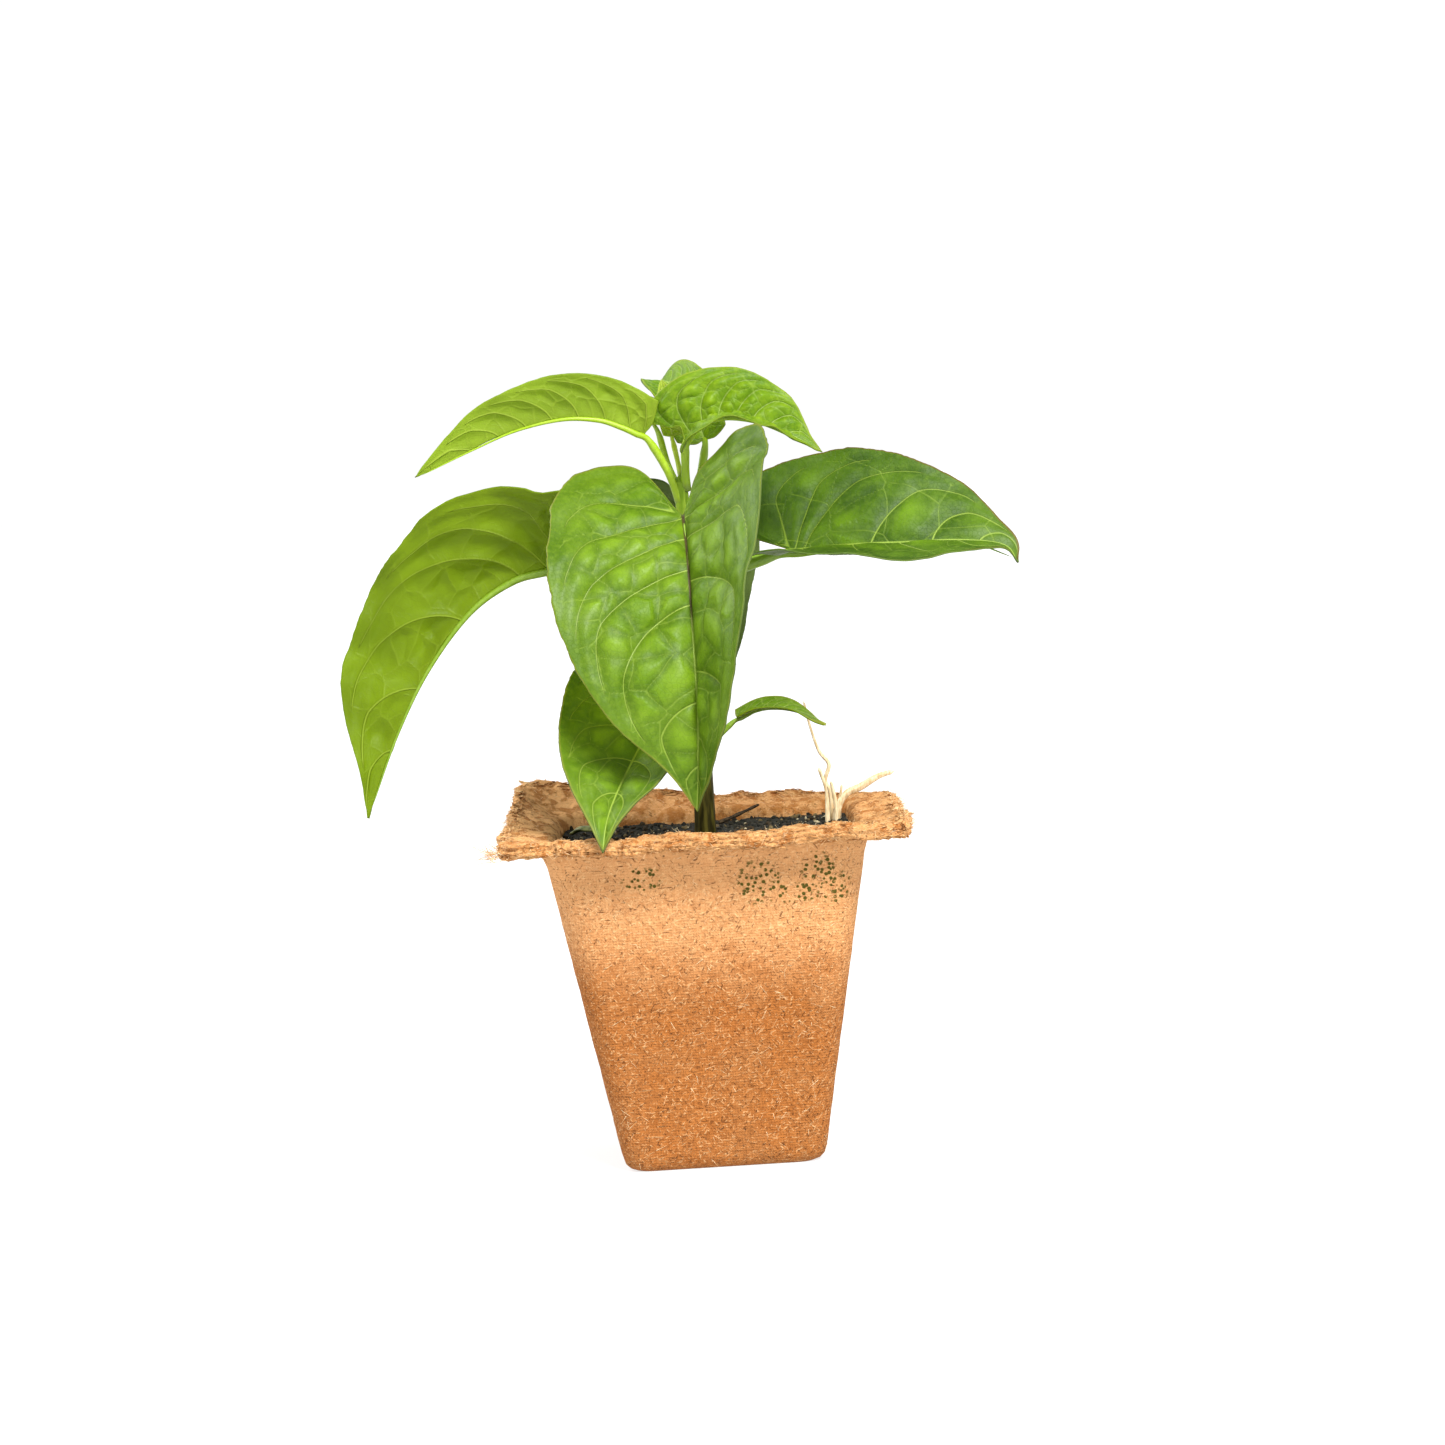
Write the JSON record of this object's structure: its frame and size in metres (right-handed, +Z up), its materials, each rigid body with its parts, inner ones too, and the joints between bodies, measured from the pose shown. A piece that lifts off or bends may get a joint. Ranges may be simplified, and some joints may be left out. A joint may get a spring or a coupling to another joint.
{
  "type": "potted chilli pepper plant",
  "caption": "Young chilli pepper plant with broad drooping leaves on a slim stem, rooted in dark soil in a square tapered wood-fibre pot with a wide torn-edged flange.",
  "frame": {"origin": "centre of the pot's flat base, on the surface it stands on", "axes": "+Z up along the pot and the stem; -Y towards the front, where the heart-shaped leaf hangs over the rim; +X to the right seen from the front, square with the pot's right wall"},
  "size_m": [0.1701, 0.1215, 0.1981],
  "materials": {
    "wood_fibre": "matt, fibrous",
    "soil": "matt, crumbly",
    "stem_green": "satin",
    "leaf_green": "satin, waxy",
    "young_leaf_green": "satin, waxy",
    "dry_straw": "matt"
  },
  "bodies": {
    "root": {"fibre_pot": "wood_fibre", "potting_soil": "soil", "stem": "stem_green", "leaf_front": "leaf_green", "leaf_left": "leaf_green", "leaf_right": "leaf_green", "leaf_back": "leaf_green", "leaf_low_left": "leaf_green", "leaf_low_right": "young_leaf_green", "leaf_top_left": "young_leaf_green", "leaf_top_right": "young_leaf_green", "leaf_young_upright": "young_leaf_green", "leaf_top_back": "young_leaf_green", "leaf_top_small": "young_leaf_green", "dry_stalk_bent": "dry_straw", "dry_stalk_curly": "dry_straw", "dry_stalk_left": "dry_straw", "dry_stalk_middle": "dry_straw", "dry_stalk_short": "dry_straw", "dry_stalk_leaning": "dry_straw", "twig": "dry_straw", "seed_leaf": "young_leaf_green"}
  },
  "joints": []
}
